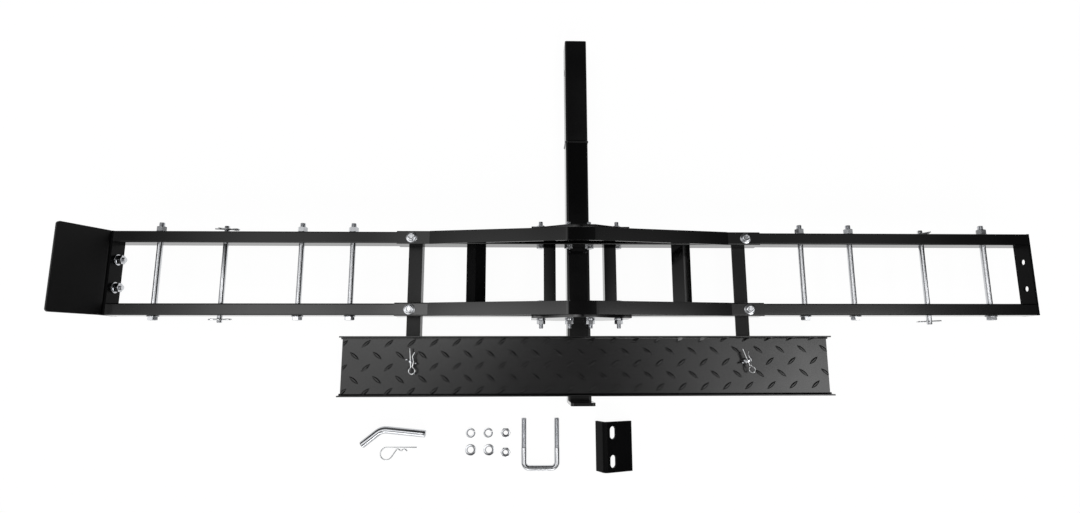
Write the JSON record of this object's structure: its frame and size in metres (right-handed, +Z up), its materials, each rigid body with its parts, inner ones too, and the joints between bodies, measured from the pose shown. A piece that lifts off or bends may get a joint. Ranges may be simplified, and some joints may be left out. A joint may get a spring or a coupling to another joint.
{
  "type": "hitch motorcycle carrier",
  "caption": "Receiver-hitch carrier with a long narrow wheel track on a square bar, a stowed tread-plate loading ramp, a bent wheel stop and loose hitch hardware.",
  "frame": {"origin": "middle of the cross hole for the hitch pin, in the middle of the square shank", "axes": "+X across the vehicle, to the right when facing it; +Y along the shank toward the vehicle; +Z up"},
  "size_m": [2.0476, 0.9855, 0.1882],
  "materials": {
    "black_steel": "satin black powder coat",
    "zinc_steel": "bright zinc plating"
  },
  "bodies": {
    "carrier": {"hitch_shank": "black_steel", "main_bar": "black_steel", "ramp_stop": "black_steel", "rear_bracket_plate": "black_steel", "front_bracket_plate": "black_steel", "rear_centre_rail": "black_steel", "front_centre_rail": "black_steel", "rear_arch": "black_steel", "front_arch": "black_steel", "rear_left_rail": "black_steel", "rear_right_rail": "black_steel", "front_left_rail": "black_steel", "front_right_rail": "black_steel", "left_end_plate": "black_steel", "right_end_plate": "black_steel", "inner_cross_left": "black_steel", "inner_cross_right": "black_steel", "mid_cross_left": "black_steel", "mid_cross_right": "black_steel", "ramp_arm_left": "black_steel", "ramp_arm_right": "black_steel", "wheel_stop": "black_steel", "ramp": "black_steel", "anti_tilt_bracket": "black_steel", "stop_bolts": "zinc_steel", "stop_washers": "zinc_steel", "stop_nuts": "zinc_steel", "tie_bolts": "zinc_steel", "tie_washers": "zinc_steel", "tie_nuts": "zinc_steel", "bracket_bolts": "zinc_steel", "bracket_washers": "zinc_steel", "bracket_nuts": "zinc_steel", "joint_bolts": "zinc_steel", "joint_washers": "zinc_steel", "joint_nuts": "zinc_steel", "ramp_studs": "zinc_steel", "hitch_pin": "zinc_steel", "hitch_pin_clip": "zinc_steel", "u_bolt": "zinc_steel", "lock_washers": "zinc_steel", "flat_washers": "zinc_steel", "u_bolt_nuts": "zinc_steel"},
    "wheel_pin_left": {"wheel_pin_left": "zinc_steel"},
    "wheel_pin_right": {"wheel_pin_right": "zinc_steel"},
    "pin_clip_left_rear": {"pin_clip_left_rear": "zinc_steel"},
    "pin_clip_left_front": {"pin_clip_left_front": "zinc_steel"},
    "pin_clip_right_rear": {"pin_clip_right_rear": "zinc_steel"},
    "pin_clip_right_front": {"pin_clip_right_front": "zinc_steel"},
    "wing_nut_left": {"wing_nut_left": "zinc_steel"},
    "wing_nut_right": {"wing_nut_right": "zinc_steel"},
    "ramp_clip_left": {"ramp_clip_left": "zinc_steel"},
    "ramp_clip_right": {"ramp_clip_right": "zinc_steel"}
  },
  "joints": [
    {"name": "wheel_pin_left_float", "type": "slide", "parent": "carrier", "child": "wheel_pin_left", "axis": [0, 1, 0], "range_m": [-0.006, 0.006]},
    {"name": "wheel_pin_right_float", "type": "slide", "parent": "carrier", "child": "wheel_pin_right", "axis": [0, 1, 0], "range_m": [-0.002, 0.01]},
    {"name": "pin_clip_left_rear_pull", "type": "slide", "parent": "wheel_pin_left", "child": "pin_clip_left_rear", "axis": [0.9781, 0, -0.2079], "range_m": [0, 0.032]},
    {"name": "pin_clip_left_front_pull", "type": "slide", "parent": "wheel_pin_left", "child": "pin_clip_left_front", "axis": [1, 0, 0], "range_m": [0, 0.032]},
    {"name": "pin_clip_right_rear_pull", "type": "slide", "parent": "wheel_pin_right", "child": "pin_clip_right_rear", "axis": [-0.4695, 0, -0.8829], "range_m": [0, 0.032]},
    {"name": "pin_clip_right_front_pull", "type": "slide", "parent": "wheel_pin_right", "child": "pin_clip_right_front", "axis": [-0.5878, 0, -0.809], "range_m": [0, 0.032]},
    {"name": "ramp_clip_left_pull", "type": "slide", "parent": "carrier", "child": "ramp_clip_left", "axis": [0.0698, -0.9976, 0], "range_m": [0, 0.034]},
    {"name": "ramp_clip_right_pull", "type": "slide", "parent": "carrier", "child": "ramp_clip_right", "axis": [0.342, -0.9397, 0], "range_m": [0, 0.034]},
    {"name": "wing_nut_left_turn", "type": "hinge", "parent": "carrier", "child": "wing_nut_left", "pos_m": [-0.3605, -0.6795, 0.0334], "axis": [0, 0, 1], "continuous": true},
    {"name": "wing_nut_right_turn", "type": "hinge", "parent": "carrier", "child": "wing_nut_right", "pos_m": [0.3605, -0.6795, 0.0334], "axis": [0, 0, 1], "continuous": true}
  ]
}
